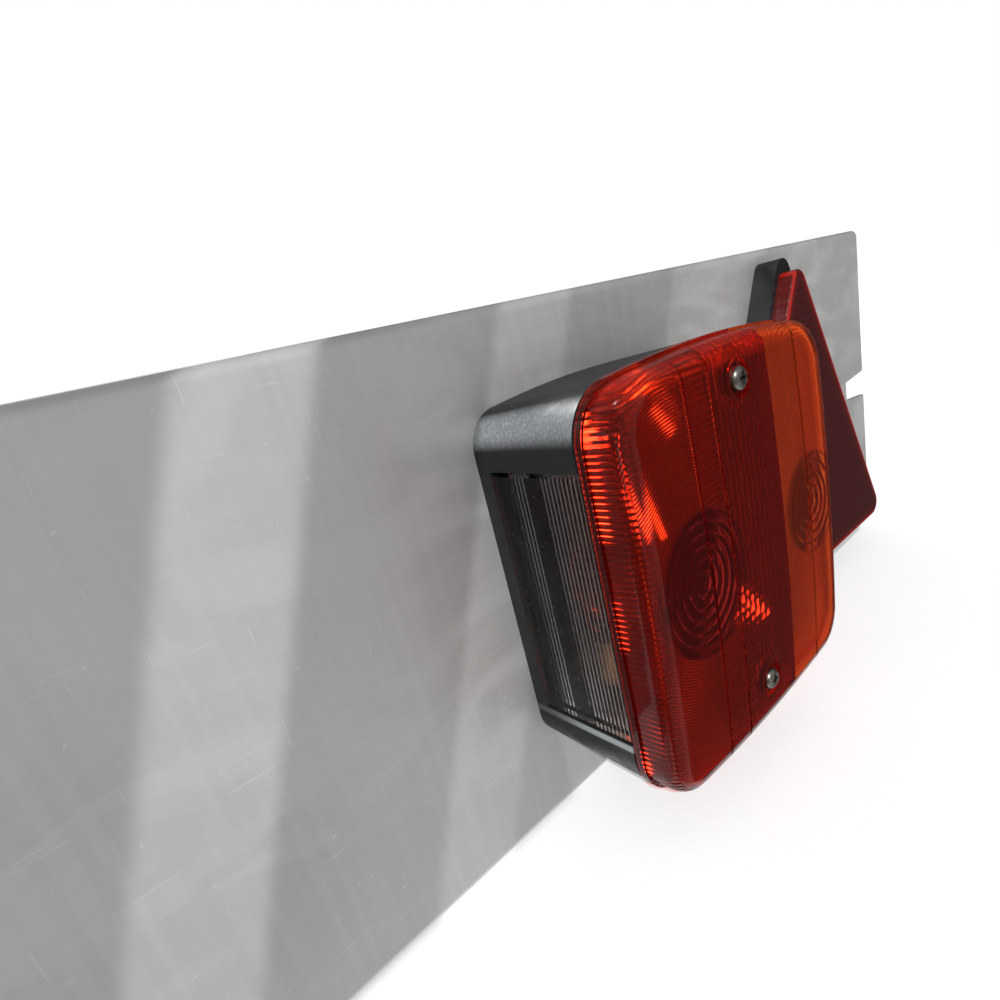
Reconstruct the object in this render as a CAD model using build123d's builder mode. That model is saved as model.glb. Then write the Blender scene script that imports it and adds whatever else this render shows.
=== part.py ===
from build123d import *
import os

# Trailer lighting board: a folded aluminium channel that carries, at each end, a combined
# tail, stop, direction and number plate lamp and a triangular rear reflector.
# X runs along the board, +Z is up and the lamps face -Y. The origin is the middle of the
# board's underside, half way between the lamp fronts and the back edges of the folds.

# Driving dimensions, in millimetres

# Board, a sheet with its long edges folded backwards
BOARD_LENGTH = 1220.0
BOARD_HEIGHT = 150.0
SHEET = 2.0
FOLD_DEPTH = 20.0
BEND_RADIUS = 3.0
NOTCH_DEPTH = 22.0
NOTCH_MOUTH = 12.4
NOTCH_ROOT = 9.0
NOTCH_RISE = 76.0

# Lamp outline, a square with bowed top and bottom, and the depths of its layers
LAMP_FROM_END = 216.0
LAMP_RISE = 75.0
LAMP_WIDTH = 97.0
LAMP_HEIGHT = 109.0
LAMP_BOW = 3.0
LAMP_CORNER = 13.0
LAMP_DEPTH = 50.0

# Lamp housing
HOUSING_DEPTH = 36.5
HOUSING_FLARE = 2.4
HOUSING_WALL = 2.5
HOUSING_BACK = 2.5
PILLAR_RADIUS = 4.5
WEB = 2.0
POST_RADIUS = 3.5
POST_PIN_RADIUS = 1.5

# Number plate window in the housing's inner side
WINDOW_HEIGHT = 71.0
WINDOW_BACK = 5.0
WINDOW_LIP = 1.8
WINDOW_LIP_THICK = 1.5
WINDOW_GAP = 1.2
FLUTE_PITCH = 1.4
FLUTE_DEPTH = 0.35
REAR_FLUTES_START = 8.5
REAR_FLUTES = 5
FRONT_FLUTES_START = 21.0
FRONT_FLUTES = 10

# Lens
GASKET_THICK = 1.2
GASKET_INSET = 0.4
LENS_WALL = 2.5
LENS_DRAFT = 0.5
LENS_EDGE = 5.0
LENS_CROWN = 1.5
LENS_LIP = 0.6
LENS_LIP_DEPTH = 2.0
JOINT_OFFSET = 14.0
GROOVE_OFFSETS = (-24.0, -13.6, 29.7)
GROOVE_WIDTH = 0.8
GROOVE_DEPTH = 0.5
SCREW_RISE = 1.8
SCREW_SPREAD = 42.3
WELL_RADIUS = 4.8
WELL_DEPTH = 2.4

# Optics moulded into the lens
RED_EYE = -26.0
AMBER_EYE = 33.0
EYE_RISE = 1.0
RED_RINGS = 6
AMBER_RINGS = 5
RING_PITCH = 3.0
RING_DEPTH = 0.8
RIB_PITCH = 1.5
RIB_DEPTH = 0.5
WALL_RIBS = 54
STRIP_RIBS = 16

# Bulbs, their holders and the plate that carries them
BULB_RADIUS = 10.0
BULB_DEPTH = 24.0
CAP_RADIUS = 7.5
CAP_LENGTH = 16.0
BULB_REACH = 29.0
HOLDER_WALL = 0.8
HOLDER_LENGTH = 13.0
FOOT = 9.0
PLATE = 1.0
PLATE_GAP = 5.5
PLATE_HEIGHT = 24.0
PLATE_MARGIN = 8.0
POST_OFFSETS = (-8.0, 22.0)

# Screws, bolts, washers and nuts
SCREW_RADIUS = 1.75
SCREW_HEAD_RADIUS = 3.0
SCREW_HEAD = 2.4
SCREW_HEAD_ROUND = 1.4
SCREW_LENGTH = 18.0
CROSS_WIDTH = 0.8
CROSS_LENGTH = 3.2
CROSS_DEPTH = 1.3
BOLT_RADIUS = 3.0
BOLT_HEAD_RADIUS = 6.5
BOLT_HEAD = 3.0
BOLT_HEAD_ROUND = 2.4
BOLT_SPREAD = 26.0
STUD_RADIUS = 2.5
STUD_HEAD_RADIUS = 5.0
STUD_HEAD = 2.0
STUD_HEAD_ROUND = 1.6
STUD_SPREAD = 27.0
WASHER = 1.2
WASHER_MARGIN = 3.2
NUT_HEIGHT = 5.0
NUT_MARGIN = 2.0
THREAD_END = 2.0

# Rubber grommet where the lamp's cable passes the sheet
GROMMET_BORE = 3.5
GROMMET_SEAT = 6.0
GROMMET_FLANGE = 8.5
GROMMET_FLANGE_THICK = 2.0

# Triangular reflector
TRIANGLE_FROM_END = 100.5
TRIANGLE_BASE_RISE = 13.8
TRIANGLE_SIDE = 158.0
TRIANGLE_CORNER = 6.0
TRIANGLE_BASE_DEPTH = 9.0
TRIANGLE_DEPTH = 15.0
TRIANGLE_WALL = 2.4
TRIANGLE_RIM = 2.5
TRIANGLE_LENS_CORNER = 6.2
TRIANGLE_EDGE = 1.2

# Clearances
HOLE_CLEARANCE = 0.3
THREAD_CLEARANCE = 0.05
SLIP_CLEARANCE = 0.2

# Places worked out from the dimensions
FACE_Y = (LAMP_DEPTH - FOLD_DEPTH) / 2
LAMP_X = BOARD_LENGTH / 2 - LAMP_FROM_END
TRIANGLE_X = BOARD_LENGTH / 2 - TRIANGLE_FROM_END
TRIANGLE_INRADIUS = TRIANGLE_SIDE * 3**0.5 / 6
TRIANGLE_RISE = TRIANGLE_BASE_RISE + TRIANGLE_INRADIUS
LENS_SEAT = HOUSING_DEPTH + GASKET_THICK
LENS_INSIDE = LAMP_DEPTH - LENS_WALL
WELL_FLOOR = LAMP_DEPTH - WELL_DEPTH
PILLAR_TOP = WELL_FLOOR - LENS_WALL
PLATE_DEPTH = HOUSING_BACK + PLATE_GAP
PLATE_RISE = EYE_RISE - BULB_REACH + CAP_LENGTH / 2
CROWN_RADIUS = ((LAMP_HEIGHT / 2) ** 2 + LENS_CROWN**2) / (2 * LENS_CROWN)
SCREW_SPOTS = ((0, SCREW_RISE + SCREW_SPREAD), (0, SCREW_RISE - SCREW_SPREAD))
LAMP_BOLT_SPOTS = ((0, BOLT_SPREAD), (0, -BOLT_SPREAD))
STUD_SPOTS = ((-STUD_SPREAD, 0), (STUD_SPREAD, 0))


def at_board(depth):
    """Plane facing the viewer, so far in front of the board's face, at the board's origin."""
    return Plane(origin=(0, FACE_Y - depth, 0), x_dir=(1, 0, 0), z_dir=(0, -1, 0))


def at_lamp(depth):
    """The same, centred on the right-hand lamp."""
    return Plane(origin=(LAMP_X, FACE_Y - depth, LAMP_RISE), x_dir=(1, 0, 0), z_dir=(0, -1, 0))


def at_triangle(depth):
    """The same, centred on the right-hand reflector."""
    return Plane(origin=(TRIANGLE_X, FACE_Y - depth, TRIANGLE_RISE), x_dir=(1, 0, 0), z_dir=(0, -1, 0))


def flare(depth):
    """How far the housing's side lies inside the rim's outline at a depth."""
    return HOUSING_FLARE * (1 - depth / HOUSING_DEPTH)


def lamp_outline(depth, inset):
    """The lamp's outline, drawn in on every side by the inset."""
    half_width = LAMP_WIDTH / 2 - inset
    half_height = LAMP_HEIGHT / 2 - inset
    shoulder = half_height - LAMP_BOW
    with BuildSketch(at_lamp(depth)) as outline:
        with BuildLine():
            ThreePointArc((-half_width, shoulder), (0, half_height), (half_width, shoulder))
            Line((half_width, shoulder), (half_width, -shoulder))
            ThreePointArc((half_width, -shoulder), (0, -half_height), (-half_width, -shoulder))
            Line((-half_width, -shoulder), (-half_width, shoulder))
        make_face()
        fillet(outline.vertices(), LAMP_CORNER - inset)
    return outline.sketch


def lens_form(inset):
    """The lens's rounded and crowned form, drawn in by the inset: 0 outside, the wall inside."""
    radius = CROWN_RADIUS - inset
    with BuildPart() as form:
        loft([lamp_outline(LENS_SEAT, inset), lamp_outline(LAMP_DEPTH, LENS_DRAFT + inset)], ruled=True)
        with Locations((LAMP_X, FACE_Y - LAMP_DEPTH + inset + radius, LAMP_RISE)):
            Cylinder(radius, 2 * LAMP_WIDTH, rotation=(0, 90, 0), mode=Mode.INTERSECT)
        fillet(form.faces().sort_by(Axis.Y)[0].edges(), LENS_EDGE - inset)
    return form


def ring_cutter(eye, rings):
    """Saw-toothed disc whose teeth cut the rings of a bull's-eye into the lens's inner face."""
    base = LENS_INSIDE - LENS_CROWN
    with BuildPart() as cutter:
        with BuildSketch(Plane((LAMP_X + eye, FACE_Y, LAMP_RISE + EYE_RISE), (1, 0, 0), (0, 0, 1))):
            with BuildLine():
                points = [(0, -base), (0, -LENS_INSIDE)]
                for ring in range(rings):
                    start = ring * RING_PITCH
                    points.append((start + RING_PITCH / 4, -LENS_INSIDE - RING_DEPTH))
                    points.append((start + RING_PITCH, -LENS_INSIDE))
                points.append((rings * RING_PITCH, -base))
                Polyline(*points, close=True)
            make_face()
        revolve(axis=Axis((LAMP_X + eye, 0, LAMP_RISE + EYE_RISE), (0, 1, 0)))
    return cutter


def bulb(eye):
    """Bayonet bulb that stands upright behind its bull's-eye, cap down."""
    neck = CAP_RADIUS - HOLDER_WALL
    shoulder = (BULB_RADIUS**2 - neck**2) ** 0.5
    middle = Plane((LAMP_X + eye, FACE_Y - BULB_DEPTH, LAMP_RISE + EYE_RISE), (1, 0, 0), (0, -1, 0))
    with BuildPart() as lamp_bulb:
        with BuildSketch(middle):
            with BuildLine():
                Polyline(
                    (0, BULB_RADIUS),
                    (0, -BULB_REACH),
                    (CAP_RADIUS, -BULB_REACH),
                    (CAP_RADIUS, CAP_LENGTH - BULB_REACH),
                    (neck, CAP_LENGTH - BULB_REACH),
                    (neck, -shoulder),
                )
                ThreePointArc((neck, -shoulder), (BULB_RADIUS, 0), (0, BULB_RADIUS))
            make_face()
        revolve(axis=Axis(middle.origin, (0, 0, 1)))
    return lamp_bulb


def bulb_holder(eye):
    """Sleeve around the bulb's cap, on a foot that stands on the bulb plate."""
    inner = CAP_RADIUS + SLIP_CLEARANCE
    cap_end = LAMP_RISE + EYE_RISE - BULB_REACH
    middle = cap_end + HOLDER_LENGTH / 2
    foot_depth = BULB_DEPTH - PLATE_DEPTH - PLATE
    with BuildPart() as holder:
        with BuildSketch(Plane.XY.offset(cap_end)):
            with Locations((LAMP_X + eye, FACE_Y - BULB_DEPTH)):
                Circle(inner + HOLDER_WALL)
            with Locations((LAMP_X + eye, FACE_Y - BULB_DEPTH + foot_depth / 2)):
                Rectangle(FOOT, foot_depth)
            with Locations((LAMP_X + eye, FACE_Y - BULB_DEPTH)):
                Circle(inner, mode=Mode.SUBTRACT)
        extrude(amount=HOLDER_LENGTH)
    return holder


def bolts(plane, spots, radius, length, head_radius, head, head_round):
    """Round-headed bolts whose heads stand on the plane and whose shanks run back from it."""
    with BuildPart() as group:
        with BuildSketch(plane):
            with Locations(*spots):
                Circle(head_radius)
        extrude(amount=head)
        fillet(group.edges().group_by(Axis.Y)[0], head_round)
        with BuildSketch(plane):
            with Locations(*spots):
                Circle(radius)
        extrude(amount=-length)
    return group


def washers(plane, spots, radius):
    with BuildPart() as group:
        with BuildSketch(plane):
            with Locations(*spots):
                Circle(radius + WASHER_MARGIN)
                Circle(radius + HOLE_CLEARANCE, mode=Mode.SUBTRACT)
        extrude(amount=-WASHER)
    return group


def nuts(plane, spots, radius):
    with BuildPart() as group:
        with BuildSketch(plane):
            with Locations(*spots):
                RegularPolygon(radius + NUT_MARGIN, 6, major_radius=False)
                Circle(radius + THREAD_CLEARANCE, mode=Mode.SUBTRACT)
        extrude(amount=-NUT_HEIGHT)
    return group


def triangle_outline(depth, inset, corner):
    """Rounded equilateral triangle, apex up, drawn in on every side by the inset."""
    circumradius = 2 * (TRIANGLE_INRADIUS - inset)
    with BuildSketch(at_triangle(depth)) as outline:
        RegularPolygon(circumradius, 3, rotation=90)
        fillet(outline.vertices(), corner)
    return outline.sketch


# Board panel: one sheet, folded back along the top and the bottom, with a tie notch in each end
with BuildPart() as board_panel:
    with BuildSketch(Plane.YZ) as channel:
        with Locations((FACE_Y + FOLD_DEPTH / 2, BOARD_HEIGHT / 2)):
            Rectangle(FOLD_DEPTH, BOARD_HEIGHT)
        fillet(channel.vertices().group_by(Axis.X)[0], BEND_RADIUS)
    extrude(amount=BOARD_LENGTH / 2, both=True)
    with BuildSketch(Plane.YZ) as hollow:
        with Locations((FACE_Y + SHEET + FOLD_DEPTH / 2, BOARD_HEIGHT / 2)):
            Rectangle(FOLD_DEPTH, BOARD_HEIGHT - 2 * SHEET)
        fillet(hollow.vertices().group_by(Axis.X)[0], BEND_RADIUS - SHEET)
    extrude(amount=BOARD_LENGTH / 2, both=True, mode=Mode.SUBTRACT)
    with BuildSketch(at_board(0)):
        with BuildLine():
            Polyline(
                (BOARD_LENGTH / 2, NOTCH_RISE + NOTCH_MOUTH / 2),
                (BOARD_LENGTH / 2 - NOTCH_DEPTH, NOTCH_RISE + NOTCH_ROOT / 2),
                (BOARD_LENGTH / 2 - NOTCH_DEPTH, NOTCH_RISE - NOTCH_ROOT / 2),
                (BOARD_LENGTH / 2, NOTCH_RISE - NOTCH_MOUTH / 2),
                close=True,
            )
        make_face()
        with Locations((LAMP_X, LAMP_RISE)):
            Circle(GROMMET_SEAT)
            with Locations(*LAMP_BOLT_SPOTS):
                Circle(BOLT_RADIUS + HOLE_CLEARANCE)
        with Locations((TRIANGLE_X, TRIANGLE_RISE)):
            with Locations(*STUD_SPOTS):
                Circle(STUD_RADIUS + HOLE_CLEARANCE)
        mirror(about=Plane.YZ)
    extrude(amount=-SHEET, mode=Mode.SUBTRACT)

# Lamp housing: a flared tray with the screw pillars, the wall between the two chambers and
# the posts of the bulb plate moulded in, open at the rim and at the number plate window
pane_face = Plane(
    origin=(LAMP_X - LAMP_WIDTH / 2 + HOUSING_FLARE, FACE_Y, LAMP_RISE),
    x_dir=(-HOUSING_FLARE, -HOUSING_DEPTH, 0),
    z_dir=(-HOUSING_DEPTH, HOUSING_FLARE, 0),
)
pane_end = (HOUSING_DEPTH**2 + HOUSING_FLARE**2) ** 0.5
with BuildPart() as lamp_housing:
    loft([lamp_outline(0, flare(0)), lamp_outline(HOUSING_DEPTH, 0)], ruled=True)
    floor = lamp_outline(HOUSING_BACK, flare(HOUSING_BACK) + HOUSING_WALL)
    mouth = lamp_outline(HOUSING_DEPTH, HOUSING_WALL)
    loft([floor, mouth], ruled=True, mode=Mode.SUBTRACT)
    # Screw pillars, each with a web to the nearest wall
    with BuildSketch(at_lamp(HOUSING_BACK)):
        with Locations(*SCREW_SPOTS):
            Circle(PILLAR_RADIUS)
    extrude(amount=PILLAR_TOP - HOUSING_BACK)
    wall_rise = LAMP_HEIGHT / 2 - HOUSING_FLARE
    with BuildSketch(at_lamp(HOUSING_BACK)):
        for (across, rise), wall in zip(SCREW_SPOTS, (wall_rise, -wall_rise)):
            with Locations((across, (rise + wall) / 2)):
                Rectangle(WEB, abs(wall - rise))
    extrude(amount=HOUSING_DEPTH - HOUSING_BACK - HOUSING_WALL)
    with BuildSketch(at_lamp(PILLAR_TOP)):
        with Locations(*SCREW_SPOTS):
            Circle(SCREW_RADIUS + THREAD_CLEARANCE)
    extrude(amount=-SCREW_LENGTH, mode=Mode.SUBTRACT)
    # Wall between the red and the amber chamber, taller and narrower inside the lens
    with BuildSketch(at_lamp(HOUSING_BACK)):
        with Locations((JOINT_OFFSET, 0)):
            Rectangle(WEB, LAMP_HEIGHT - 2 * HOUSING_FLARE - 2 * LAMP_BOW)
    extrude(amount=HOUSING_DEPTH - HOUSING_BACK - HOUSING_WALL)
    with BuildSketch(at_lamp(HOUSING_BACK)):
        with Locations((JOINT_OFFSET, 0)):
            Rectangle(WEB, LAMP_HEIGHT - 2 * (LENS_WALL + LENS_EDGE + LAMP_BOW))
    extrude(amount=LENS_INSIDE - LENS_CROWN - HOLE_CLEARANCE - HOUSING_BACK)
    with BuildSketch(at_lamp(PLATE_DEPTH - SLIP_CLEARANCE)):
        with Locations((JOINT_OFFSET, PLATE_RISE)):
            Rectangle(2 * WEB, PLATE_HEIGHT + 2 * SLIP_CLEARANCE)
    extrude(amount=PLATE + 2 * SLIP_CLEARANCE, mode=Mode.SUBTRACT)
    # Posts of the bulb plate, with a pin through the plate
    post_spots = [(offset, PLATE_RISE) for offset in POST_OFFSETS]
    with BuildSketch(at_lamp(HOUSING_BACK)):
        with Locations(*post_spots):
            Circle(POST_RADIUS)
    extrude(amount=PLATE_GAP)
    with BuildSketch(at_lamp(PLATE_DEPTH)):
        with Locations(*post_spots):
            Circle(POST_PIN_RADIUS)
    extrude(amount=2 * PLATE)
    # Openings: the window, the bolts and the cable
    with BuildSketch(pane_face):
        with Locations(((WINDOW_BACK + pane_end) / 2, 0)):
            Rectangle(pane_end - WINDOW_BACK, WINDOW_HEIGHT)
    extrude(amount=HOUSING_WALL, both=True, mode=Mode.SUBTRACT)
    with BuildSketch(at_lamp(0)):
        with Locations(*LAMP_BOLT_SPOTS):
            Circle(BOLT_RADIUS + HOLE_CLEARANCE)
        Circle(GROMMET_FLANGE + HOLE_CLEARANCE)
    extrude(amount=HOUSING_BACK, mode=Mode.SUBTRACT)

# Number plate window: a clear pane in the housing's opening, with a gap above and below it, a lip
# behind the opening's top, bottom and back edges, and two bands of flutes inside
with BuildPart() as plate_window:
    section = Plane(pane_face.origin, x_dir=pane_face.x_dir, z_dir=(0, 0, 1))
    pane_inside = HOUSING_WALL + WINDOW_LIP_THICK
    pane_start = WINDOW_BACK + SLIP_CLEARANCE
    pane_front = pane_end + HOUSING_WALL
    with BuildSketch(pane_face):
        with Locations(((pane_start + pane_front) / 2, 0)):
            Rectangle(pane_front - pane_start, WINDOW_HEIGHT - 2 * WINDOW_GAP)
    extrude(amount=-pane_inside)
    with BuildSketch(pane_face.offset(-HOUSING_WALL - SLIP_CLEARANCE)):
        lip_start = WINDOW_BACK - WINDOW_LIP
        with Locations(((lip_start + pane_front) / 2, 0)):
            Rectangle(pane_front - lip_start, WINDOW_HEIGHT + 2 * WINDOW_LIP)
    extrude(amount=SLIP_CLEARANCE - WINDOW_LIP_THICK)
    with BuildSketch(section.offset(-WINDOW_HEIGHT / 2)):
        for start, count in ((REAR_FLUTES_START, REAR_FLUTES), (FRONT_FLUTES_START, FRONT_FLUTES)):
            for flute in range(count):
                place = start + flute * FLUTE_PITCH
                with BuildLine():
                    Polyline(
                        (place, pane_inside),
                        (place + FLUTE_PITCH / 2, pane_inside - FLUTE_DEPTH),
                        (place + FLUTE_PITCH, pane_inside),
                        close=True,
                    )
                make_face()
    extrude(amount=WINDOW_HEIGHT, mode=Mode.SUBTRACT)
    split(bisect_by=at_lamp(HOUSING_DEPTH), keep=Keep.BOTTOM)

# Gasket between the housing's rim and the lens
with BuildPart() as lens_gasket:
    extrude(lamp_outline(HOUSING_DEPTH, GASKET_INSET), amount=GASKET_THICK)
    extrude(lamp_outline(HOUSING_DEPTH, HOUSING_WALL), amount=GASKET_THICK, mode=Mode.SUBTRACT)

# Space inside the lens: its inner form with the bull's-eye rings and the ribs cut outwards,
# and the cups of the two screw wells left standing
lens_outside = lens_form(0)
lens_inside = lens_form(LENS_WALL)
red_rings = ring_cutter(RED_EYE, RED_RINGS)
amber_rings = ring_cutter(AMBER_EYE, AMBER_RINGS)
with BuildPart() as optics:
    add(red_rings.part)
    add(amber_rings.part)
    extrude(lamp_outline(LENS_SEAT, LENS_EDGE), amount=LAMP_DEPTH, mode=Mode.INTERSECT)
    # Ribs across the strip between the two grooves, above and below the bull's-eye, sunk as the
    # crown falls away
    strip_middle = (GROOVE_OFFSETS[0] + GROOVE_OFFSETS[1]) / 2
    strip_width = GROOVE_OFFSETS[1] - GROOVE_OFFSETS[0]
    first_rib = RED_RINGS * RING_PITCH + RIB_PITCH
    for rib in range(STRIP_RIBS):
        for turn in (1, -1):
            rise = EYE_RISE + turn * (first_rib + rib * RIB_PITCH)
            rib_depth = LENS_INSIDE - rise**2 / (2 * CROWN_RADIUS)
            rib_origin = (LAMP_X + strip_middle, FACE_Y - rib_depth, LAMP_RISE + rise)
            with BuildSketch(Plane(rib_origin, x_dir=(0, -1, 0), z_dir=(1, 0, 0))):
                Rectangle(2 * RIB_DEPTH, RIB_PITCH / 2)
            extrude(amount=strip_width / 2, both=True)
    # Ribs along the inner side wall, from the seat to the rounded edge
    for rib in range(WALL_RIBS):
        rise = (rib - (WALL_RIBS - 1) / 2) * RIB_PITCH
        with BuildSketch(at_lamp(LENS_SEAT)):
            with Locations((LENS_WALL - LAMP_WIDTH / 2, rise)):
                RegularPolygon(RIB_DEPTH, 4)
        extrude(amount=LAMP_DEPTH - LENS_SEAT - LENS_EDGE)
with BuildPart() as lens_space:
    add(lens_inside.part)
    add(optics.part)
    with BuildSketch(at_lamp(PILLAR_TOP)):
        with Locations(*SCREW_SPOTS):
            Circle(WELL_RADIUS + LENS_WALL)
    extrude(amount=LAMP_DEPTH - PILLAR_TOP, mode=Mode.SUBTRACT)

# Whole lens: a lip over the rim, grooves in the face, screw wells and their holes
with BuildPart() as grooves:
    crown_axis = FACE_Y - LAMP_DEPTH + CROWN_RADIUS
    with Locations(*[(LAMP_X + offset, crown_axis, LAMP_RISE) for offset in GROOVE_OFFSETS]):
        Cylinder(CROWN_RADIUS + GROOVE_DEPTH, GROOVE_WIDTH, rotation=(0, 90, 0))
        Cylinder(CROWN_RADIUS - GROOVE_DEPTH, GROOVE_WIDTH, rotation=(0, 90, 0), mode=Mode.SUBTRACT)
with BuildPart() as whole_lens:
    add(lens_outside.part)
    extrude(lamp_outline(LENS_SEAT, -LENS_LIP), amount=LENS_LIP_DEPTH)
    add(lens_space.part, mode=Mode.SUBTRACT)
    add(grooves.part, mode=Mode.SUBTRACT)
    with BuildSketch(at_lamp(WELL_FLOOR)):
        with Locations(*SCREW_SPOTS):
            Circle(WELL_RADIUS)
    extrude(amount=WELL_DEPTH, mode=Mode.SUBTRACT)
    with BuildSketch(at_lamp(PILLAR_TOP)):
        with Locations(*SCREW_SPOTS):
            Circle(SCREW_RADIUS + HOLE_CLEARANCE)
    extrude(amount=LENS_WALL, mode=Mode.SUBTRACT)

# The lens's two colours, welded edge to edge
joint_plane = Plane((LAMP_X + JOINT_OFFSET, 0, 0), (0, 1, 0), (1, 0, 0))
with BuildPart() as red_lens:
    add(whole_lens.part)
    split(bisect_by=joint_plane, keep=Keep.BOTTOM)
with BuildPart() as amber_lens:
    add(whole_lens.part)
    split(bisect_by=joint_plane, keep=Keep.TOP)

# Lens screws: cross-recessed pan heads in the wells
with BuildPart() as lens_screws:
    with BuildSketch(at_lamp(WELL_FLOOR)):
        with Locations(*SCREW_SPOTS):
            Circle(SCREW_HEAD_RADIUS)
    extrude(amount=SCREW_HEAD)
    fillet(lens_screws.edges().group_by(Axis.Y)[0], SCREW_HEAD_ROUND)
    with BuildSketch(at_lamp(WELL_FLOOR + SCREW_HEAD)):
        with Locations(*SCREW_SPOTS):
            Rectangle(CROSS_LENGTH, CROSS_WIDTH)
            Rectangle(CROSS_WIDTH, CROSS_LENGTH)
    extrude(amount=-CROSS_DEPTH, mode=Mode.SUBTRACT)
    with BuildSketch(at_lamp(WELL_FLOOR)):
        with Locations(*SCREW_SPOTS):
            Circle(SCREW_RADIUS)
    extrude(amount=-SCREW_LENGTH)

# Bulb plate on the housing's posts, bulbs and holders
plate_start = RED_EYE - PLATE_MARGIN
plate_end = AMBER_EYE + PLATE_MARGIN
with BuildPart() as bulb_plate:
    with BuildSketch(at_lamp(PLATE_DEPTH)):
        with Locations(((plate_start + plate_end) / 2, PLATE_RISE)):
            Rectangle(plate_end - plate_start, PLATE_HEIGHT)
        with Locations(*post_spots):
            Circle(POST_PIN_RADIUS + SLIP_CLEARANCE, mode=Mode.SUBTRACT)
    extrude(amount=PLATE)
tail_bulb = bulb(RED_EYE)
indicator_bulb = bulb(AMBER_EYE)
tail_bulb_holder = bulb_holder(RED_EYE)
indicator_bulb_holder = bulb_holder(AMBER_EYE)

# Bolts through the housing's back and the sheet, with their washers and nuts behind it
washer_depth = -SHEET
nut_depth = washer_depth - WASHER
bolt_reach = SHEET + WASHER + NUT_HEIGHT + THREAD_END
lamp_bolt_length = HOUSING_BACK + bolt_reach
lamp_bolts = bolts(
    at_lamp(HOUSING_BACK),
    LAMP_BOLT_SPOTS,
    BOLT_RADIUS,
    lamp_bolt_length,
    BOLT_HEAD_RADIUS,
    BOLT_HEAD,
    BOLT_HEAD_ROUND,
)
lamp_washers = washers(at_lamp(washer_depth), LAMP_BOLT_SPOTS, BOLT_RADIUS)
lamp_nuts = nuts(at_lamp(nut_depth), LAMP_BOLT_SPOTS, BOLT_RADIUS)

# Cable grommet, a rubber ring with a groove that grips the sheet's hole
with BuildPart() as cable_grommet:
    with BuildSketch(at_lamp(-SHEET - GROMMET_FLANGE_THICK)):
        Circle(GROMMET_FLANGE)
    extrude(amount=GROMMET_FLANGE_THICK)
    with BuildSketch(at_lamp(0)):
        Circle(GROMMET_FLANGE)
    extrude(amount=GROMMET_FLANGE_THICK)
    with BuildSketch(at_lamp(-SHEET)):
        Circle(GROMMET_SEAT)
    extrude(amount=SHEET)
    with BuildSketch(at_lamp(GROMMET_FLANGE_THICK)):
        Circle(GROMMET_BORE)
    extrude(amount=-SHEET - 2 * GROMMET_FLANGE_THICK, mode=Mode.SUBTRACT)

# Triangular reflector: a tray whose rim stands out round the welded prism lens, on two studs
lens_depth = TRIANGLE_DEPTH - TRIANGLE_BASE_DEPTH
inner_inset = TRIANGLE_RIM + TRIANGLE_WALL
inner_corner = TRIANGLE_LENS_CORNER - TRIANGLE_WALL
with BuildPart() as triangle_base:
    extrude(triangle_outline(0, 0, TRIANGLE_CORNER), amount=TRIANGLE_BASE_DEPTH)
    tray = triangle_outline(TRIANGLE_WALL, inner_inset, inner_corner)
    extrude(tray, amount=TRIANGLE_BASE_DEPTH - TRIANGLE_WALL, mode=Mode.SUBTRACT)
    with BuildSketch(at_triangle(0)):
        with Locations(*STUD_SPOTS):
            Circle(STUD_RADIUS + HOLE_CLEARANCE)
    extrude(amount=TRIANGLE_WALL, mode=Mode.SUBTRACT)
with BuildPart() as triangle_lens:
    lens_edge = triangle_outline(TRIANGLE_BASE_DEPTH, TRIANGLE_RIM, TRIANGLE_LENS_CORNER)
    extrude(lens_edge, amount=lens_depth)
    fillet(triangle_lens.faces().sort_by(Axis.Y)[0].edges(), TRIANGLE_EDGE)
    cavity = triangle_outline(TRIANGLE_BASE_DEPTH, inner_inset, inner_corner)
    extrude(cavity, amount=lens_depth - TRIANGLE_WALL, mode=Mode.SUBTRACT)
stud_length = TRIANGLE_WALL + bolt_reach
triangle_studs = bolts(
    at_triangle(TRIANGLE_WALL),
    STUD_SPOTS,
    STUD_RADIUS,
    stud_length,
    STUD_HEAD_RADIUS,
    STUD_HEAD,
    STUD_HEAD_ROUND,
)
triangle_washers = washers(at_triangle(washer_depth), STUD_SPOTS, STUD_RADIUS)
triangle_nuts = nuts(at_triangle(nut_depth), STUD_SPOTS, STUD_RADIUS)

# Write the board, then every right-hand piece and its left-hand twin
os.makedirs("parts", exist_ok=True)
board_panel.part.label = "board_panel"
export_step(board_panel.part, "parts/board_panel.step")
right_hand_pieces = {
    "lamp_housing": lamp_housing,
    "plate_window": plate_window,
    "lens_gasket": lens_gasket,
    "red_lens": red_lens,
    "amber_lens": amber_lens,
    "lens_screws": lens_screws,
    "bulb_plate": bulb_plate,
    "tail_bulb": tail_bulb,
    "tail_bulb_holder": tail_bulb_holder,
    "indicator_bulb": indicator_bulb,
    "indicator_bulb_holder": indicator_bulb_holder,
    "lamp_bolts": lamp_bolts,
    "lamp_washers": lamp_washers,
    "lamp_nuts": lamp_nuts,
    "cable_grommet": cable_grommet,
    "triangle_base": triangle_base,
    "triangle_lens": triangle_lens,
    "triangle_studs": triangle_studs,
    "triangle_washers": triangle_washers,
    "triangle_nuts": triangle_nuts,
}
for name, piece in right_hand_pieces.items():
    piece.part.label = f"right_{name}"
    export_step(piece.part, f"parts/right_{name}.step")
    with BuildPart() as twin:
        mirror(piece.part, about=Plane.YZ)
    twin.part.label = f"left_{name}"
    export_step(twin.part, f"parts/left_{name}.step")
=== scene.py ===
import math

import bpy
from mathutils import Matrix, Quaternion, Vector

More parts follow.
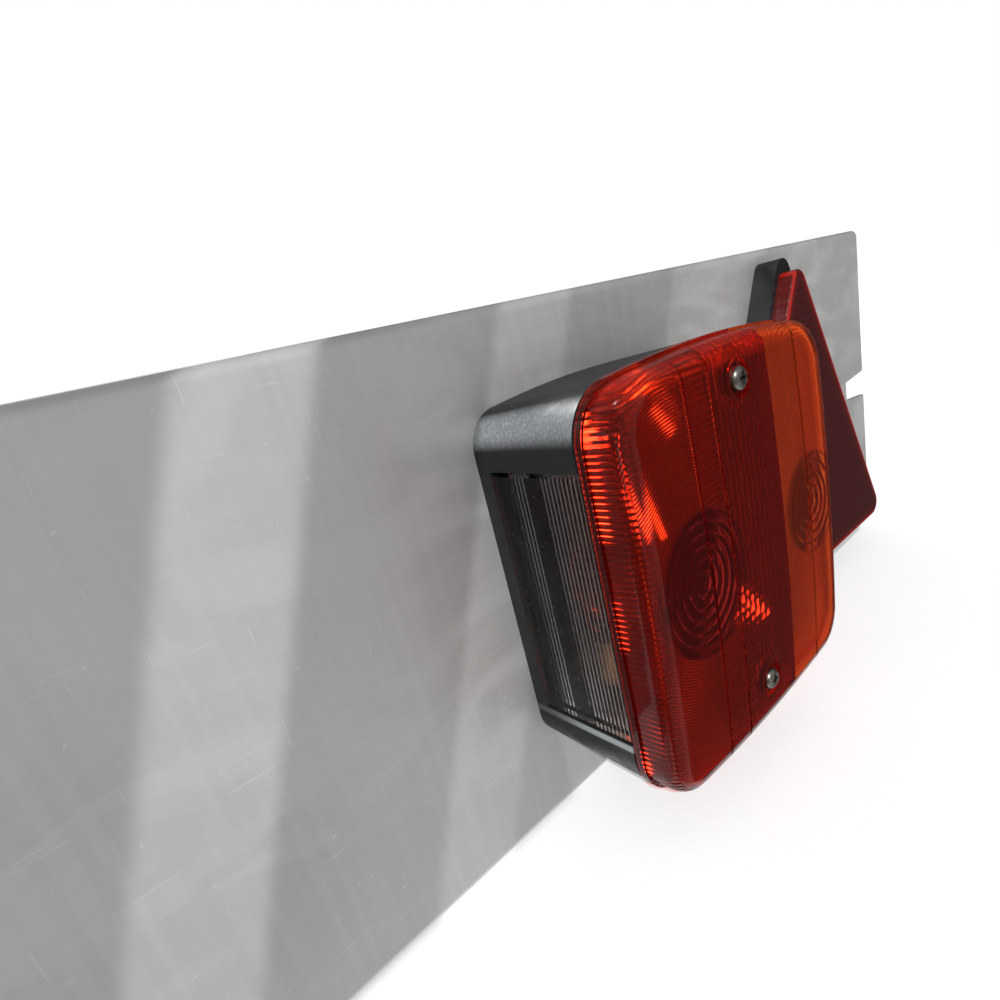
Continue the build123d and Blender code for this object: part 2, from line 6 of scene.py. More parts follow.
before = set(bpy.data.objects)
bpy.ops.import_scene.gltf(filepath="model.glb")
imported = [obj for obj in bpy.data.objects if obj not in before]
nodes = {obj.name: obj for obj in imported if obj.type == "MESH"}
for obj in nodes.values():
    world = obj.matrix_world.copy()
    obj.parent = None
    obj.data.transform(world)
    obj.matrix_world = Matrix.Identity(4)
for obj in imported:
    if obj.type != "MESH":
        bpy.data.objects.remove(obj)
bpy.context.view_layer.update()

# The board: one sheet of mill aluminium, sheared, notched at both ends and folded back along its long edges.
# The rolls leave a satin grain along its length, and handling leaves hairline scratches and dull smudges.


def add_node(tree, kind, **settings):
    """Adds a shader node and sets its own properties, such as operation."""
    node = tree.nodes.new("ShaderNode" + kind)
    for name, value in settings.items():
        setattr(node, name, value)
    return node


def feed(tree, socket, source):
    """Links a socket to another one, or sets it to a plain value."""
    if isinstance(source, bpy.types.NodeSocket):
        tree.links.new(source, socket)
    else:
        socket.default_value = source


def calculate(tree, operation, first, second=0.0):
    """One Math node on two sockets or numbers."""
    node = add_node(tree, "Math", operation=operation)
    feed(tree, node.inputs[0], first)
    feed(tree, node.inputs[1], second)
    return node.outputs[0]


def fade(tree, value, low, high, start=0.0, end=1.0):
    """Goes smoothly from start to end while value goes from low to high."""
    node = add_node(tree, "MapRange", interpolation_type="SMOOTHSTEP")
    feed(tree, node.inputs["Value"], value)
    feed(tree, node.inputs["From Min"], low)
    feed(tree, node.inputs["From Max"], high)
    feed(tree, node.inputs["To Min"], start)
    feed(tree, node.inputs["To Max"], end)
    return node.outputs["Result"]


def blotches(tree, place, scale, detail=3.0, stretch=(1, 1, 1), turn=(0, 0, 0), swirl=0.0):
    """Noise of about 1/scale metres, stretched, turned and swirled in the part's own frame."""
    mapping = add_node(tree, "Mapping")
    mapping.inputs["Scale"].default_value = stretch
    mapping.inputs["Rotation"].default_value = turn
    feed(tree, mapping.inputs["Vector"], place)
    noise = add_node(tree, "TexNoise")
    noise.inputs["Scale"].default_value = scale
    noise.inputs["Detail"].default_value = detail
    noise.inputs["Distortion"].default_value = swirl
    feed(tree, noise.inputs["Vector"], mapping.outputs["Vector"])
    return noise.outputs["Fac"]


def blend_colours(tree, share, first, second):
    """Goes from the first colour to the second as share goes from 0 to 1."""
    node = add_node(tree, "Mix", data_type="RGBA")
    feed(tree, node.inputs["Factor"], share)
    feed(tree, node.inputs["A"], first)
    feed(tree, node.inputs["B"], second)
    return node.outputs["Result"]


def raise_surface(tree, principled, height, distance, strength=1.0):
    """Bump of the given height in metres on the shader's normal."""
    bump = add_node(tree, "Bump")
    bump.inputs["Strength"].default_value = strength
    bump.inputs["Distance"].default_value = distance
    feed(tree, bump.inputs["Height"], height)
    feed(tree, principled.inputs["Normal"], bump.outputs["Normal"])


def new_finish(name):
    """A material with its Principled shader, and where a point lies in the part's frame, in metres."""
    material = bpy.data.materials.new(name)
    material.use_nodes = True
    tree = material.node_tree
    principled = tree.nodes["Principled BSDF"]
    place = add_node(tree, "TexCoord").outputs["Object"]
    return material, tree, principled, place


def dress(material, *names):
    """Gives the named CAD nodes this material."""
    for name in names:
        slots = nodes[name].data.materials
        slots.clear()
        slots.append(material)


def both(name):
    """A piece's node names at the right and the left end of the board."""
    return "right_" + name, "left_" + name


def mill_aluminium():
    material, tree, principled, place = new_finish("mill_aluminium")
    bare, greyed, wiped_pale = (0.615, 0.608, 0.595, 1), (0.560, 0.560, 0.552, 1), (0.665, 0.665, 0.660, 1)
    streaked, marked = (0.700, 0.695, 0.680, 1), (0.80, 0.80, 0.79, 1)
    wiped_share, mark_share, scratch_depth = 0.6, 0.5, 0.000004
    grain = blotches(tree, place, 40, 4, stretch=(1, 1, 40))
    streaks = blotches(tree, place, 12, 4, stretch=(30, 1, 1))
    wiped = fade(tree, blotches(tree, place, 20, 7, (1, 1, 2.2), (0, 0.6, 0), swirl=1.6), 0.42, 0.68)
    handled = fade(tree, blotches(tree, place, 9, 6, swirl=0.8), 0.4, 0.7)
    specks = fade(tree, blotches(tree, place, 420, 2), 0.72, 0.78)
    scratches_up = fade(tree, blotches(tree, place, 60, 2, (30, 1, 1), (0, 0.5, 0)), 0.7, 0.74)
    scratches_along = fade(tree, blotches(tree, place, 45, 2, (1, 1, 36), (0, 0.2, 0)), 0.71, 0.75)
    scratches = calculate(tree, "MAXIMUM", scratches_up, scratches_along)
    marks = calculate(tree, "MAXIMUM", scratches, specks)
    colour = blend_colours(tree, handled, bare, greyed)
    colour = blend_colours(tree, calculate(tree, "MULTIPLY", wiped, wiped_share), colour, wiped_pale)
    colour = blend_colours(tree, fade(tree, streaks, 0.3, 0.8, 0.0, 0.35), colour, streaked)
    colour = blend_colours(tree, calculate(tree, "MULTIPLY", marks, mark_share), colour, marked)
    feed(tree, principled.inputs["Base Color"], colour)
    dull = fade(tree, wiped, 0.0, 1.0, 0.44, 0.56)
    rough = calculate(tree, "MULTIPLY_ADD", grain, 0.10)
    feed(tree, rough.node.inputs[2], dull)
    feed(tree, principled.inputs["Roughness"], rough)
    principled.inputs["Metallic"].default_value = 0.4
    feed(tree, principled.inputs["Coat Weight"], fade(tree, wiped, 0.0, 1.0, 0.9, 0.55))
    principled.inputs["Coat Roughness"].default_value = 0.10
    height = calculate(tree, "SUBTRACT", calculate(tree, "MULTIPLY", grain, 0.3), scratches)
    raise_surface(tree, principled, height, scratch_depth)
    return material


dress(mill_aluminium(), "board_panel")

# The lamp housings: deep trays moulded in black plastic with a finely grained outside, bolted to the sheet.
# The upper inner corner has a painted highlight, the window's lip a painted glint, and dust lies on top.


def lamp_place_group():
    """Node group: how far a point lies outward, up and forward of its lamp's middle on the sheet, in mm."""
    group = bpy.data.node_groups.new("lamp_place", "ShaderNodeTree")
    for name in ("Across", "Up", "Forward"):
        group.interface.new_socket(name, in_out="OUTPUT", socket_type="NodeSocketFloat")
    give = group.nodes.new("NodeGroupOutput")
    place = add_node(group, "TexCoord").outputs["Object"]
    split = add_node(group, "SeparateXYZ")
    feed(group, split.inputs[0], place)
    lamp_x, lamp_z, face_y = 394.0, 75.0, 15.0
    outward = calculate(group, "MULTIPLY", calculate(group, "ABSOLUTE", split.outputs["X"]), 1000)
    feed(group, give.inputs["Across"], calculate(group, "SUBTRACT", outward, lamp_x))
    upward = calculate(group, "MULTIPLY", split.outputs["Z"], 1000)
    feed(group, give.inputs["Up"], calculate(group, "SUBTRACT", upward, lamp_z))
    rearward = calculate(group, "MULTIPLY", split.outputs["Y"], 1000)
    feed(group, give.inputs["Forward"], calculate(group, "SUBTRACT", face_y, rearward))
    return group


def dust_group():
    """Node group: a mask of dust that gathers on faces which look up, in patches."""
    group = bpy.data.node_groups.new("dust", "ShaderNodeTree")
    group.interface.new_socket("Amount", in_out="INPUT", socket_type="NodeSocketFloat")
    group.interface.new_socket("Mask", in_out="OUTPUT", socket_type="NodeSocketFloat")
    take = group.nodes.new("NodeGroupInput")
    give = group.nodes.new("NodeGroupOutput")
    place = add_node(group, "TexCoord").outputs["Object"]
    patches = fade(group, blotches(group, place, 90, 6), 0.4, 0.75)
    normal = add_node(group, "SeparateXYZ")
    feed(group, normal.inputs[0], add_node(group, "NewGeometry").outputs["Normal"])
    looks_up = fade(group, normal.outputs["Z"], -0.2, 0.9, 0.25, 1.0)
    share = calculate(group, "MULTIPLY", patches, looks_up)
    feed(group, give.inputs["Mask"], calculate(group, "MULTIPLY", share, take.outputs["Amount"]))
    return group


lamp_place = lamp_place_group()
dust = dust_group()


def add_group(tree, group, **values):
    """Places a node group in a material with its own values."""
    node = add_node(tree, "Group", node_tree=group)
    for name, value in values.items():
        node.inputs[name].default_value = value
    return node.outputs


def black_plastic():
    material, tree, principled, place = new_finish("black_plastic")
    lamp = add_group(tree, lamp_place)
    dusty = add_group(tree, dust, Amount=0.25)["Mask"]
    normal = add_node(tree, "SeparateXYZ")
    feed(tree, normal.inputs[0], add_node(tree, "NewGeometry").outputs["Normal"])
    lean_in, lean_up, grain_depth = 0.83, 0.56, 0.000018
    leaning = calculate(tree, "MULTIPLY_ADD", calculate(tree, "ABSOLUTE", normal.outputs["X"]), lean_in)
    feed(tree, leaning.node.inputs[2], calculate(tree, "MULTIPLY", normal.outputs["Z"], lean_up))
    # A painted highlight, mottled like scuffs, lies along the rounded upper inner corner where the normal
    # leans up and inward.
    inner, upper = fade(tree, lamp["Across"], -26.0, -40.0), fade(tree, lamp["Up"], 30.0, 42.0)
    inner_corner = calculate(tree, "MULTIPLY", inner, upper)
    inner_corner = calculate(tree, "MULTIPLY", inner_corner, fade(tree, leaning, 0.87, 1.0))
    highlight_mottle = fade(tree, blotches(tree, place, 1200, 6), 0.35, 0.75)
    corner_highlight = calculate(tree, "MULTIPLY", inner_corner, fade(tree, highlight_mottle, 0.0, 1.0, 0.68, 1.0))
    corner_highlight = calculate(tree, "MULTIPLY", corner_highlight, fade(tree, lamp["Forward"], 40.0, 6.0, 0.75, 1.0))
    # A painted glint runs along the lip under the window.
    below, above = fade(tree, lamp["Up"], -38.2, -37.4), fade(tree, lamp["Up"], -35.6, -36.2)
    sill_glint = calculate(tree, "MULTIPLY", below, above)
    sill_glint = calculate(tree, "MULTIPLY", sill_glint, fade(tree, lamp["Across"], -45.0, -46.0))
    sill_glint = calculate(tree, "MULTIPLY", sill_glint, fade(tree, lamp["Forward"], 5.0, 26.0, 0.2, 1.0))
    moulded, highlight_grey, dusted = (0.013, 0.014, 0.015, 1), (0.335, 0.357, 0.371, 1), (0.040, 0.040, 0.039, 1)
    polish_and_glint = (0.34, 0.36, 0.37, 1)
    colour = blend_colours(tree, dusty, moulded, dusted)
    colour = blend_colours(tree, corner_highlight, colour, highlight_grey)
    feed(tree, principled.inputs["Base Color"], blend_colours(tree, sill_glint, colour, polish_and_glint))
    grain = blotches(tree, place, 2400, 2)
    worn = blotches(tree, place, 300, 4)
    satin = fade(tree, worn, 0.3, 0.7, 0.30, 0.46)
    feed(tree, principled.inputs["Roughness"], fade(tree, normal.outputs["Z"], 0.8, 0.98, satin, 0.5))
    principled.inputs["IOR"].default_value = 1.36
    raise_surface(tree, principled, grain, grain_depth)
    return material


housing_plastic = black_plastic()
dress(housing_plastic, *both("lamp_housing"))

# Inside each lamp: a zinc-plated steel strip on the housing's posts carries two brass bayonet sleeves.
# A clear bulb for tail and stop light and an amber one for the indicator push into them.


def plated_steel(name, colour, tarnish, roughness):
    """Bright metal with cloudy tarnish, its roughness given as the clean and the dull value."""
    material, tree, principled, place = new_finish(name)
    clouds = fade(tree, blotches(tree, place, 220, 5), 0.4, 0.68)
    feed(tree, principled.inputs["Base Color"], blend_colours(tree, clouds, colour, tarnish))
    feed(tree, principled.inputs["Roughness"], fade(tree, clouds, 0.0, 1.0, *roughness))
    principled.inputs["Metallic"].default_value = 1.0
    raise_surface(tree, principled, blotches(tree, place, 1500, 2), 0.00001)
    return material


zinc_steel = plated_steel("zinc_steel", (0.52, 0.51, 0.47, 1), (0.28, 0.26, 0.22, 1), (0.25, 0.5))
dull_zinc = plated_steel("dull_zinc", (0.16, 0.155, 0.145, 1), (0.09, 0.085, 0.075, 1), (0.5, 0.7))
brass_strip = plated_steel("brass_strip", (0.52, 0.37, 0.16, 1), (0.30, 0.20, 0.08, 1), (0.3, 0.5))
dress(dull_zinc, *both("bulb_plate"))
dress(brass_strip, *both("tail_bulb_holder"), *both("indicator_bulb_holder"))


def bulb_glass(name, tint):
    material, tree, principled, place = new_finish(name)
    film = fade(tree, blotches(tree, place, 160, 4), 0.45, 0.75, 0.02, 0.14)
    feed(tree, principled.inputs["Roughness"], film)
    principled.inputs["Base Color"].default_value = tint
    principled.inputs["Transmission Weight"].default_value = 1.0
    principled.inputs["IOR"].default_value = 1.47
    return material


dress(bulb_glass("bulb_glass", (0.93, 0.94, 0.93, 1)), *both("tail_bulb"))
dress(bulb_glass("amber_bulb_glass", (0.95, 0.50, 0.10, 1)), *both("indicator_bulb"))

# The number plate windows: clear panes with two bands of moulded flutes, set in the housings' inner sides.
# Their plastic is dusty and a little scratched, and the lip round the opening holds them.


def clear_plastic():
    material, tree, principled, place = new_finish("clear_plastic")
    specks = fade(tree, blotches(tree, place, 900, 3), 0.66, 0.74)
    haze = fade(tree, blotches(tree, place, 70, 5), 0.4, 0.75)
    film = calculate(tree, "MAXIMUM", specks, calculate(tree, "MULTIPLY", haze, 0.4))
    lamp = add_group(tree, lamp_place)
    pane_shade_tint, clean, hazed = (0.30, 0.29, 0.30, 1), (0.82, 0.82, 0.80, 1), (0.26, 0.25, 0.25, 1)
    shaded_border, warm = (0.02, 0.02, 0.02, 1), (0.62, 0.40, 0.35, 1)
    # The pane's tint is darker towards the top and at its rear border as painted shade, and reddish towards
    # the lens as painted light from the red lens.
    colour = blend_colours(tree, fade(tree, lamp["Up"], -8.0, -34.0), pane_shade_tint, clean)
    colour = blend_colours(tree, fade(tree, lamp["Forward"], 18.0, 34.0, 0.0, 0.6), colour, warm)
    colour = blend_colours(tree, calculate(tree, "MULTIPLY", film, 0.7), colour, hazed)
    colour = blend_colours(tree, fade(tree, lamp["Forward"], 8.4, 7.6), colour, shaded_border)
    feed(tree, principled.inputs["Base Color"], colour)
    feed(tree, principled.inputs["Roughness"], fade(tree, film, 0.0, 1.0, 0.1, 0.3))
    principled.inputs["Transmission Weight"].default_value = 1.0
    principled.inputs["IOR"].default_value = 1.28
    return material


dress(clear_plastic(), *both("plate_window"))

# The lens gaskets: thin black rubber rings that seal the lens against the housing's rim.
# The rubber is matt and greyed with dust at its edge.


def black_rubber():
    material, tree, principled, place = new_finish("black_rubber")
    dusty = add_group(tree, dust, Amount=0.5)["Mask"]
    clean, dusted = (0.014, 0.014, 0.014, 1), (0.060, 0.058, 0.055, 1)
    feed(tree, principled.inputs["Base Color"], blend_colours(tree, dusty, clean, dusted))
    feed(tree, principled.inputs["Roughness"], fade(tree, dusty, 0.0, 1.0, 0.55, 0.8))
    raise_surface(tree, principled, blotches(tree, place, 1800, 3), 0.00003)
    return material


rubber = black_rubber()
dress(rubber, *both("lens_gasket"), *both("cable_grommet"))

# The lenses: a red and an amber moulding welded side by side, held to the housing by two screws.
# Fine rings round each bulb, ribs beside the reflex field and ribs down the walls spread the light.


def lens_optics_group():
    """Node group: a lens's moulded rings, ribs and prisms, their shade, and masks of its fields."""
    group = bpy.data.node_groups.new("lens_optics", "ShaderNodeTree")
    for name in ("Eye Across", "Eye Up", "Eye Radius", "Strip From", "Strip To", "Depth"):
        group.interface.new_socket(name, in_out="INPUT", socket_type="NodeSocketFloat")
    for name in ("Height", "Shade", "Eye", "Reflex", "Wall", "Rim", "Weld", "Inner"):
        group.interface.new_socket(name, in_out="OUTPUT", socket_type="NodeSocketFloat")
    take = group.nodes.new("NodeGroupInput").outputs
    give = group.nodes.new("NodeGroupOutput").inputs
    lamp = add_group(group, lamp_place)
    eye_pitch, ring_pitch, rib_pitch, joint = 3.0, 0.75, 1.5, 14.0
    wall_from, prisms_per_metre, prism_depth = 44.5, 420, 1.2
    grooves, groove_shade = (-24.0, -13.6, 29.7), 1.5
    away_across = calculate(group, "SUBTRACT", lamp["Across"], take["Eye Across"])
    away_up = calculate(group, "SUBTRACT", lamp["Up"], take["Eye Up"])
    square = calculate(group, "MULTIPLY", away_across, away_across)
    radius_square = calculate(group, "MULTIPLY_ADD", away_up, away_up)
    feed(group, radius_square.node.inputs[2], square)
    radius = calculate(group, "SQRT", radius_square)
    eye = fade(group, radius, calculate(group, "ADD", take["Eye Radius"], 0.4), take["Eye Radius"])
    rings = calculate(group, "PINGPONG", radius, ring_pitch / 2)
    ribs = calculate(group, "PINGPONG", lamp["Up"], rib_pitch / 2)
    in_strip = calculate(
        group,
        "MULTIPLY",
        calculate(group, "GREATER_THAN", lamp["Across"], take["Strip From"]),
        calculate(group, "LESS_THAN", lamp["Across"], take["Strip To"]),
    )
    past_strip = calculate(group, "GREATER_THAN", lamp["Across"], take["Strip To"])
    wall_inner = calculate(group, "LESS_THAN", lamp["Across"], -wall_from)
    wall_outer = calculate(group, "GREATER_THAN", lamp["Across"], wall_from)
    wall = calculate(group, "MAXIMUM", wall_inner, wall_outer)
    ribbed = calculate(group, "MAXIMUM", in_strip, wall)
    ringed_or_ribbed = add_node(group, "Mix", data_type="FLOAT")
    feed(group, ringed_or_ribbed.inputs["Factor"], ribbed)
    feed(group, ringed_or_ribbed.inputs["A"], rings)
    feed(group, ringed_or_ribbed.inputs["B"], ribs)
    prisms = add_node(group, "TexVoronoi", feature="F1")
    prisms.inputs["Scale"].default_value = prisms_per_metre
    prisms.inputs["Randomness"].default_value = 0.25
    feed(group, prisms.inputs["Vector"], add_node(group, "TexCoord").outputs["Object"])
    prism_height = calculate(group, "MULTIPLY", prisms.outputs["Distance"], prism_depth)
    in_reflex = calculate(group, "GREATER_THAN", past_strip, wall)
    with_prisms = add_node(group, "Mix", data_type="FLOAT")
    feed(group, with_prisms.inputs["Factor"], in_reflex)
    feed(group, with_prisms.inputs["A"], ringed_or_ribbed.outputs["Result"])
    feed(group, with_prisms.inputs["B"], prism_height)
    shown = calculate(group, "MAXIMUM", wall, calculate(group, "SUBTRACT", 1.0, eye))
    height = calculate(group, "MULTIPLY", with_prisms.outputs["Result"], shown)
    moulded = calculate(group, "MULTIPLY", height, take["Depth"])
    behind_face = fade(group, lamp["Forward"], 47.75, 47.55)
    between_walls = fade(group, calculate(group, "ABSOLUTE", lamp["Across"]), 47.4, 47.0)
    inner = calculate(group, "MULTIPLY", behind_face, between_walls)
    feed(group, give["Inner"], inner)
    feed(group, give["Height"], calculate(group, "MULTIPLY", moulded, inner))
    tooth = calculate(group, "FRACT", calculate(group, "DIVIDE", radius, eye_pitch))
    eye_shade = calculate(group, "MULTIPLY", fade(group, tooth, 0.15, 0.75), eye)
    faint = fade(group, past_strip, 0.0, 1.0, 1.0, 0.12)
    ring_shade = calculate(group, "MULTIPLY", fade(group, moulded, 0.12, 0.36), faint)
    shade = calculate(group, "MAXIMUM", eye_shade, ring_shade)
    for groove in grooves:
        from_groove = calculate(group, "ABSOLUTE", calculate(group, "SUBTRACT", lamp["Across"], groove))
        shade = calculate(group, "MAXIMUM", shade, fade(group, from_groove, 0.7, 0.4, 0.0, groove_shade))
    feed(group, give["Shade"], shade)
    feed(group, give["Eye"], eye)
    feed(group, give["Reflex"], past_strip)
    feed(group, give["Wall"], wall)
    feed(group, give["Rim"], fade(group, lamp["Up"], 47.0, 50.5))
    from_joint = calculate(group, "ABSOLUTE", calculate(group, "SUBTRACT", lamp["Across"], joint))
    spots = fade(group, calculate(group, "PINGPONG", lamp["Up"], 1.0), 0.45, 0.7)
    feed(group, give["Weld"], calculate(group, "MULTIPLY", fade(group, from_joint, 0.9, 0.4), spots))
    return group


lens_optics = lens_optics_group()


def let_lamps_through(tree, principled, tint):
    """Lamps shine through the plastic and take its colour, so that the inside is lit."""
    clear = add_node(tree, "BsdfTransparent")
    clear.inputs["Color"].default_value = tint
    choose = add_node(tree, "MixShader")
    feed(tree, choose.inputs[0], add_node(tree, "LightPath").outputs["Is Shadow Ray"])
    feed(tree, choose.inputs[1], principled.outputs["BSDF"])
    feed(tree, choose.inputs[2], clear.outputs["BSDF"])
    feed(tree, tree.nodes["Material Output"].inputs["Surface"], choose.outputs["Shader"])


def lens_plastic(name, optics, field, plain, eye, wall, rim_highlight, deep, tint):
    """Clear coloured plastic, from the colours of its fields, eye and wall, a painted highlight on its upper
    rim, and its grooves.
    """
    material, tree, principled, _ = new_finish(name)
    shape = add_group(tree, lens_optics, **optics)
    shade_share, ring_depth = 0.5, 0.0006
    dusty = add_group(tree, dust, Amount=0.3)["Mask"]
    # The eye's darker colour and the red lens's darker walls are painted shade; the upper rim's brighter
    # colour is a painted highlight.
    colour = blend_colours(tree, shape["Reflex"], field, plain)
    colour = blend_colours(tree, shape["Eye"], colour, eye)
    colour = blend_colours(tree, shape["Wall"], colour, wall)
    colour = blend_colours(tree, shape["Rim"], colour, rim_highlight)
    colour = blend_colours(tree, calculate(tree, "MULTIPLY", shape["Shade"], shade_share), colour, deep)
    feed(tree, principled.inputs["Base Color"], blend_colours(tree, shape["Weld"], colour, wall))
    polish_and_glint = fade(tree, dusty, 0.0, 1.0, 0.04, 0.2)
    feed(tree, principled.inputs["Roughness"], fade(tree, shape["Inner"], 0.0, 1.0, polish_and_glint, 0.25))
    principled.inputs["Transmission Weight"].default_value = 0.89
    principled.inputs["IOR"].default_value = 1.31
    raise_surface(tree, principled, shape["Height"], ring_depth)
    let_lamps_through(tree, principled, tint)
    return material


red_plastic = lens_plastic(
    "red_plastic",
    {
        "Eye Across": -26.0,
        "Eye Up": 1.0,
        "Eye Radius": 18.0,
        "Strip From": -24.0,
        "Strip To": -13.6,
        "Depth": 1.0,
    },
    field=(0.58, 0.024, 0.006, 1),
    plain=(0.36, 0.015, 0.006, 1),
    eye=(0.30, 0.014, 0.010, 1),
    wall=(0.46, 0.016, 0.005, 1),
    rim_highlight=(0.90, 0.040, 0.008, 1),
    deep=(0.13, 0.006, 0.005, 1),
    tint=(0.96, 0.30, 0.12, 1),
)
amber_plastic = lens_plastic(
    "amber_plastic",
    {
        "Eye Across": 33.0,
        "Eye Up": 1.0,
        "Eye Radius": 15.0,
        "Strip From": 60.0,
        "Strip To": 70.0,
        "Depth": 0.4,
    },
    field=(0.70, 0.092, 0.014, 1),
    plain=(0.64, 0.084, 0.014, 1),
    eye=(0.52, 0.062, 0.012, 1),
    wall=(0.68, 0.094, 0.014, 1),
    rim_highlight=(0.84, 0.110, 0.014, 1),
    deep=(0.24, 0.034, 0.007, 1),
    tint=(0.97, 0.48, 0.15, 1),
)
dress(red_plastic, *both("red_lens"))
dress(amber_plastic, *both("amber_lens"))

# The lens screws: zinc-plated pan heads with a cross recess, sunk in the lens's two wells.
# The plating is dulled and the recess holds dirt.

worn_zinc = plated_steel("worn_zinc", (0.38, 0.36, 0.32, 1), (0.14, 0.13, 0.11, 1), (0.3, 0.55))
dress(worn_zinc, *both("lens_screws"))

# Behind the sheet: zinc-plated bolts, washers and nuts hold each housing.
# A rubber grommet, of the gasket's rubber, lines the cable hole.

dress(zinc_steel, *both("lamp_bolts"), *both("lamp_washers"), *both("lamp_nuts"))

# The triangle reflectors: black trays with a red prism lens welded on, each held by two studs with nuts.
# The lens is smooth outside and closely set with prisms inside, so it looks nearly black from the side.

dress(housing_plastic, *both("triangle_base"))
dress(zinc_steel, *both("triangle_studs"), *both("triangle_washers"), *both("triangle_nuts"))


def reflex_red():
    material, tree, principled, place = new_finish("reflex_red")
    lamp = add_group(tree, lamp_place)
    middle_across, middle_up, inradius, prisms_per_metre = 115.5, -15.6, 43.1, 420
    lit_facet, dark_facet = (0.085, 0.007, 0.007, 1), (0.040, 0.005, 0.006, 1)
    glow_near_edge, glow_at_edge = (0.30, 0.011, 0.008, 1), (0.42, 0.015, 0.010, 1)
    across = calculate(tree, "ABSOLUTE", calculate(tree, "SUBTRACT", lamp["Across"], middle_across))
    up = calculate(tree, "SUBTRACT", lamp["Up"], middle_up)
    from_bottom = calculate(tree, "ADD", up, inradius)
    lean = calculate(tree, "MULTIPLY_ADD", across, math.cos(math.radians(30)))
    feed(tree, lean.node.inputs[2], calculate(tree, "MULTIPLY", up, math.sin(math.radians(30))))
    from_side = calculate(tree, "SUBTRACT", inradius, lean)
    from_edge = calculate(tree, "MINIMUM", from_bottom, from_side)
    edge_glow = calculate(tree, "MULTIPLY", fade(tree, from_edge, 2.2, 1.2), fade(tree, from_edge, 0.15, 0.5))
    prisms = add_node(tree, "TexVoronoi", feature="F1")
    prisms.inputs["Scale"].default_value = prisms_per_metre
    prisms.inputs["Randomness"].default_value = 0.0
    feed(tree, prisms.inputs["Vector"], place)
    facet = fade(tree, prisms.outputs["Distance"], 0.1, 0.6)
    colour = blend_colours(tree, facet, lit_facet, dark_facet)
    # Towards and along its edges the face is painted brighter red, a painted glow where the rounded edges
    # catch light.
    colour = blend_colours(tree, fade(tree, from_edge, 6.0, 1.0, 0.0, 0.25), colour, glow_near_edge)
    feed(tree, principled.inputs["Base Color"], blend_colours(tree, edge_glow, colour, glow_at_edge))
    dusty = add_group(tree, dust, Amount=0.5)["Mask"]
    feed(tree, principled.inputs["Roughness"], fade(tree, dusty, 0.0, 1.0, 0.2, 0.45))
    principled.inputs["IOR"].default_value = 1.36
    principled.inputs["Coat Weight"].default_value = 0.2
    principled.inputs["Coat Roughness"].default_value = 0.06
    raise_surface(tree, principled, facet, 0.0002, 0.3)
    return material


dress(reflex_red(), *both("triangle_lens"))

# The studio: the board stands on pale paper in a white room.
# Grey and dark cards round it show in shiny surfaces only, and give the gloss its shape.


def studio_floor():
    material, tree, principled, place = new_finish("floor_paper")
    fibres = fade(tree, blotches(tree, place, 300, 4), 0.3, 0.7, 0.80, 0.83)
    shade = add_node(tree, "CombineColor")
    for channel in ("Red", "Green", "Blue"):
        feed(tree, shade.inputs[channel], fibres)
    feed(tree, principled.inputs["Base Color"], shade.outputs["Color"])
    principled.inputs["Roughness"].default_value = 0.9
    principled.inputs["Emission Color"].default_value = (1, 1, 1, 1)
    away = add_node(tree, "VectorMath", operation="LENGTH")
    feed(tree, away.inputs[0], place)
    far = fade(tree, away.outputs["Value"], 0.6, 1.6, 0.35, 0.8)
    rays = add_node(tree, "LightPath").outputs
    seen = calculate(tree, "MAXIMUM", rays["Is Camera Ray"], rays["Is Glossy Ray"])
    seen = calculate(tree, "MAXIMUM", seen, rays["Is Transmission Ray"])
    feed(tree, principled.inputs["Emission Strength"], calculate(tree, "MULTIPLY", seen, far))
    return material


def flat_sheet(name, corners, material):
    """A stage sheet through four corners."""
    mesh = bpy.data.meshes.new(name)
    mesh.from_pydata(corners, [], [(0, 1, 2, 3)])
    sheet = bpy.data.objects.new(name, mesh)
    bpy.context.scene.collection.objects.link(sheet)
    mesh.materials.append(material)
    return sheet


def even_glow(name, strength):
    material = bpy.data.materials.new(name)
    material.use_nodes = True
    tree = material.node_tree
    tree.nodes.remove(tree.nodes["Principled BSDF"])
    glow = add_node(tree, "Emission")
    glow.inputs["Strength"].default_value = strength
    feed(tree, tree.nodes["Material Output"].inputs["Surface"], glow.outputs["Emission"])
    return material


def mirrored_card(name, corners, strength):
    """A card that only shiny surfaces see."""
    card = flat_sheet(name, corners, even_glow(name, strength))
    card.visible_camera = False
    card.visible_shadow = False
    card.visible_diffuse = False
    card.visible_transmission = False


reach = 4.0
floor_corners = [(-reach, -reach, 0), (reach, -reach, 0), (reach, reach, 0), (-reach, reach, 0)]
floor = flat_sheet("floor", floor_corners, studio_floor())
floor.visible_glossy = False

front, low, high = -1.5, -3.5, 1.5


def front_card(name, left, right, strength):
    corners = [(left, front, low), (left, front, high), (right, front, high), (right, front, low)]
    mirrored_card(name, corners, strength)


def side_card(name, x, near, far, bottom, top, strength):
    corners = [(x, near, bottom), (x, near, top), (x, far, top), (x, far, bottom)]
    mirrored_card(name, corners, strength)


front_card("left_card", -4.0, -0.6, 0.1)
front_card("grey_wall", -0.6, 2.1, 0.42)
front_card("dark_card", 2.1, 9.0, 0.06)
side_card("left_wall", -4.0, front, 0.6, low, high, 0.2)
mirrored_card("back_card", [(1, 1.6, -2.5), (1, 1.6, 2.2), (5, 1.6, 2.2), (5, 1.6, -2.5)], 0.06)
side_card("right_card", 5.0, -3.0, 3.0, -2.5, 3.5, 0.06)
mirrored_card("grey_ceiling", [(-2, -1.5, 1.6), (-2, 1.5, 1.6), (3, 1.5, 1.6), (3, -1.5, 1.6)], 0.2)

